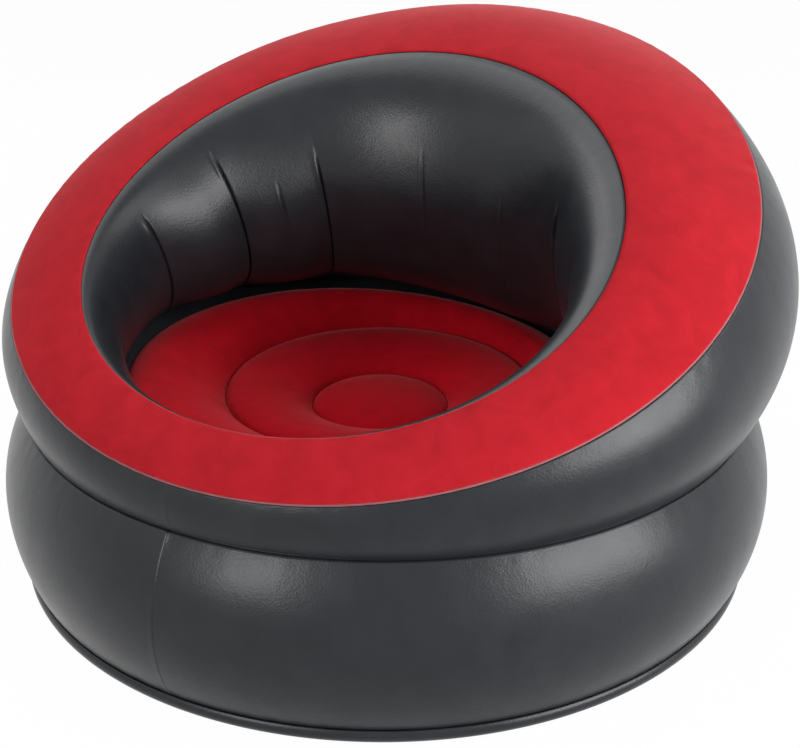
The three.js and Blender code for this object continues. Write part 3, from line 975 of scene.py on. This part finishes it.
def valve_ring(name, outline, material):
    """A moulded ring from its outline in radius and place along the valve's axis."""
    section = rounded(outline)
    turned = station_angles(VALVE_STATIONS)
    rows = [
        [valve_point(radius * math.cos(angle), along, radius * math.sin(angle)) for angle in turned]
        for radius, along in section
    ]
    # One more strip of faces joins the last row to the first
    width = len(turned)
    faces = grid_faces(len(rows) + 1, width)
    count = len(rows) * width
    faces = [tuple(index % count for index in face) for face in faces]
    return outside_out(new_object(name, np.array(rows).reshape(-1, 3), faces, material))


def plate_mesh(outline, start, end, bevel):
    """Vertices and faces of a plate square to the valve's axis with eased edges."""
    points = np.array(outline)
    way = unit(np.roll(points, -1, 0) - np.roll(points, 1, 0))
    inward = np.stack([-way[:, 1], way[:, 0]], axis=-1)
    layers = [(start, bevel), (start + bevel, 0), (end - bevel, 0), (end, bevel)]
    vertices = []
    for along, inset in layers:
        for across, upward in points + inward * inset:
            vertices.append(valve_point(across, along, upward))
    width = len(points)
    last = (len(layers) - 1) * width
    faces = grid_faces(len(layers), width)
    faces.append(tuple(range(width - 1, -1, -1)))
    faces.append(tuple(range(last, last + width)))
    return vertices, faces


def tabbed_circle(radius, tab_width, tab_reach):
    """Outline of a disc with a finger tab on its upper side, anticlockwise."""
    half = tab_width / 2
    opening = math.asin(half / radius)
    arc = np.linspace(math.pi / 2 + opening, 5 * math.pi / 2 - opening, PLATE_STATIONS)
    outline = [(radius * math.cos(angle), radius * math.sin(angle)) for angle in arc]
    top = radius + tab_reach - half
    tip = np.linspace(0, math.pi, TAB_ROWS)
    outline += [(half * math.cos(angle), top + half * math.sin(angle)) for angle in tip]
    return outline


def valve_flange(material):
    outline = [
        (VALVE_BORE, LIP_TOP),
        (VALVE_BORE, -COLLAR_DEPTH),
        (COLLAR_RADIUS, -COLLAR_DEPTH),
        (COLLAR_RADIUS, 0),
        (FLANGE_RADIUS, 0),
        (FLANGE_RADIUS, FLANGE_THICKNESS),
        (COLLAR_RADIUS, FLANGE_THICKNESS),
        (COLLAR_RADIUS, LIP_TOP),
    ]
    return valve_ring("valve_seat_ring", outline, material)


def valve_body(material):
    outline = [
        (FINE_BORE, RIM_TOP),
        (FINE_BORE, BODY_FLOOR),
        (SLEEVE_BORE, BODY_FLOOR),
        (SLEEVE_BORE, -BODY_DEPTH),
        (SLEEVE_RADIUS, -BODY_DEPTH),
        (SLEEVE_RADIUS, RIM_BOTTOM),
        (BODY_RIM_RADIUS, RIM_BOTTOM),
        (BODY_RIM_RADIUS, RIM_TOP),
    ]
    return valve_ring("valve_plug_body", outline, material)


def valve_cap(material):
    disc = tabbed_circle(CAP_RADIUS, CAP_EAR_WIDTH, CAP_EAR_REACH)
    vertices, faces = plate_mesh(disc, CAP_BOTTOM, CAP_TOP, CAP_BEVEL)
    turned = station_angles(PLATE_STATIONS)
    plug = [(PLUG_RADIUS * math.cos(angle), PLUG_RADIUS * math.sin(angle)) for angle in turned]
    plug_top = (CAP_BOTTOM + CAP_TOP) / 2
    plug_vertices, plug_faces = plate_mesh(plug, CAP_BOTTOM - PLUG_LENGTH, plug_top, PLUG_BEVEL)
    start = len(vertices)
    faces += [tuple(start + index for index in face) for face in plug_faces]
    piece = new_object("valve_stopper", np.array(vertices + plug_vertices), faces, material)
    return outside_out(piece)


def strap(name, start, end, material):
    """A flat strap that leaves both its ends square and arches away from the chair."""
    rise = np.array([0, STRAP_RISE, 0])
    points = (start, start + rise, end + rise, end)
    rows = []
    for s in np.linspace(0, 1, STRAP_STEPS + 1):
        middle = cubic(s, points)
        slopes = (-3 * (1 - s) ** 2, 3 * (1 - s) * (1 - 3 * s), 3 * s * (2 - 3 * s), 3 * s**2)
        way = unit(sum(slope * point for slope, point in zip(slopes, points)))
        thick = np.cross(way, [1, 0, 0]) * STRAP_THICKNESS / 2
        wide = np.array([STRAP_WIDTH / 2, 0, 0])
        round_edge = wide - np.array([STRAP_THICKNESS / 2, 0, 0])
        flank = STRAP_FLANK_SHARE
        corners = ((round_edge, 1), (wide, flank), (wide, -flank), (round_edge, -1))
        section = [middle + side + thick * share for side, share in corners]
        section += [middle - side + thick * share for side, share in reversed(corners)]
        rows.append(section)
    rows = np.array(rows)
    width = rows.shape[1]
    faces = grid_faces(len(rows), width)
    faces.append(tuple(range(width - 1, -1, -1)))
    last = (len(rows) - 1) * width
    faces.append(tuple(range(last, last + width)))
    return outside_out(new_object(name, rows.reshape(-1, 3), faces, material))


def cap_strap(material):
    start = valve_point(0, RIM_TOP + RUNNING_CLEARANCE, -(BODY_RIM_RADIUS - STRAP_INSET))
    end = valve_point(0, CAP_TOP + RUNNING_CLEARANCE, -(CAP_RADIUS - STRAP_INSET))
    piece = strap("cap_tether", start, end, material)
    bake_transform(piece)
    return piece


def body_strap(material):
    start = valve_point(0, FLANGE_THICKNESS + RUNNING_CLEARANCE, FLANGE_RADIUS - STRAP_INSET)
    end = valve_point(0, RIM_TOP + RUNNING_CLEARANCE, BODY_RIM_RADIUS - STRAP_INSET)
    piece = strap("body_tether", start, end, material)
    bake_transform(piece)
    return piece


# Scene


def aim(thing, target):
    direction = np.array(target) - np.array(thing.location)
    thing.rotation_euler = Vector(direction).to_track_quat("-Z", "Y").to_euler()


def away_from_chair(azimuth, elevation):
    """A direction in radians: azimuth from the front toward the right, elevation from the floor."""
    return np.array(
        [
            math.sin(azimuth) * math.cos(elevation),
            -math.cos(azimuth) * math.cos(elevation),
            math.sin(elevation),
        ]
    )


def camera():
    data = bpy.data.cameras.new("camera")
    data.lens = CAMERA_LENS
    data.sensor_width = SENSOR_WIDTH
    data.sensor_fit = "HORIZONTAL"
    view = bpy.data.objects.new("camera", data)
    bpy.context.scene.collection.objects.link(view)
    away = away_from_chair(CAMERA_AZIMUTH, CAMERA_ELEVATION)
    view.location = np.array(CAMERA_TARGET) + CAMERA_DISTANCE * away
    aim(view, CAMERA_TARGET)
    bpy.context.scene.camera = view


def softbox(lamp):
    data = bpy.data.lights.new(lamp.name, "AREA")
    data.shape = "RECTANGLE"
    data.size, data.size_y = lamp.size
    data.energy = lamp.power
    light = bpy.data.objects.new(lamp.name, data)
    bpy.context.scene.collection.objects.link(light)
    away = away_from_chair(math.radians(lamp.azimuth), math.radians(lamp.elevation))
    light.location = np.array(LAMP_TARGET) + LAMP_DISTANCE * away
    aim(light, LAMP_TARGET)


def lights():
    for lamp in LAMPS:
        softbox(lamp)


def seen_directly(tree):
    """1 for camera, glossy and transmission rays, which see the white studio, and 0 for the rest."""
    path = tree.nodes.new("ShaderNodeLightPath")
    seen = path.outputs["Is Camera Ray"]
    for kind in ("Is Glossy Ray", "Is Transmission Ray"):
        either = tree.nodes.new("ShaderNodeMath")
        either.operation = "MAXIMUM"
        tree.links.new(seen, either.inputs[0])
        tree.links.new(path.outputs[kind], either.inputs[1])
        seen = either.outputs["Value"]
    return seen


def world():
    """White to the camera and in reflections, with no other light of its own."""
    shade = bpy.data.worlds.new("studio")
    shade.use_nodes = True
    tree = shade.node_tree
    background = tree.nodes["Background"]
    background.inputs["Color"].default_value = (1, 1, 1, 1)
    tree.links.new(seen_directly(tree), background.inputs["Strength"])
    bpy.context.scene.world = shade


def floor():
    """A white floor that stays white to the camera and keeps the chair's shadow."""
    bpy.ops.mesh.primitive_plane_add(size=FLOOR_SIZE)
    plane = bpy.context.object
    plane.name = "floor"
    nodes = Nodes("floor")
    nodes.fix({"Base Color": (0.8, 0.8, 0.8, 1), "Roughness": 0.9})
    glow = nodes.add("ShaderNodeEmission")
    glow.inputs["Strength"].default_value = 1.0
    share = nodes.spread(seen_directly(nodes.tree), (0, 1), (0, FLOOR_GLOW_SHARE))
    mix = nodes.add("ShaderNodeMixShader")
    nodes.link(share, mix.inputs["Fac"])
    nodes.link(nodes.shader.outputs["BSDF"], mix.inputs[1])
    nodes.link(glow.outputs["Emission"], mix.inputs[2])
    output = nodes.tree.nodes["Material Output"]
    nodes.link(mix.outputs["Shader"], output.inputs["Surface"])
    plane.data.materials.append(nodes.material)


def dress(piece, slot, *nodes):
    """Hides the CAD nodes that a piece stands for."""
    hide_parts(*nodes)


def mount(piece, body, slot, *nodes):
    """Lets a piece ride a body, and hides its CAD nodes."""
    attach(piece, body)
    dress(piece, slot, *nodes)


def colour_hidden_pieces(frame, vinyl, moulded):
    """The pieces inside the chambers keep their CAD form and only get a material."""
    hidden = {"seat_inner_band": vinyl, "seat_outer_band": vinyl, "check_flap": moulded}
    for name, material in hidden.items():
        node = frame["nodes"][name]
        node.data.materials.clear()
        node.data.materials.append(material)


def main():
    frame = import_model()
    camera()
    lights()
    world()
    floor()
    vinyl = vinyl_material()
    # The band's flock has painted sheen and painted shade in its colour; the seat's flock does not
    band_flock_painted_sheen = flock_material("flock_band_painted_sheen", BAND_RED_PAINTED_SHEEN)
    seat_flock = flock_material("flock_seat", SEAT_RED)
    moulded = moulded_material()
    mount(base_sheet(vinyl), "chair", "vinyl", "base_sheet")
    mount(lower_wall(vinyl), "chair", "vinyl", "lower_wall")
    mount(upper_wall(vinyl), "chair", "vinyl", "upper_wall")
    mount(top_sheet(band_flock_painted_sheen, edge_highlight_material()), "chair", "flock", "top_sheet")
    mount(inner_wall(vinyl), "chair", "vinyl", "inner_wall")
    mount(middle_sheet(vinyl), "chair", "vinyl", "middle_sheet")
    mount(seat_sheet(seat_flock), "chair", "flock", "seat_sheet")
    mount(valve_flange(moulded), "chair", "valve_plastic", "valve_flange")
    mount(valve_body(moulded), "valve_plug", "valve_plastic", "valve_body")
    mount(valve_cap(moulded), "cap", "valve_plastic", "valve_cap")
    dress(cap_strap(moulded), "valve_plastic", "cap_strap")
    dress(body_strap(moulded), "valve_plastic", "body_strap")
    colour_hidden_pieces(frame, vinyl, moulded)
    bpy.context.scene.view_settings.view_transform = "Standard"


main()
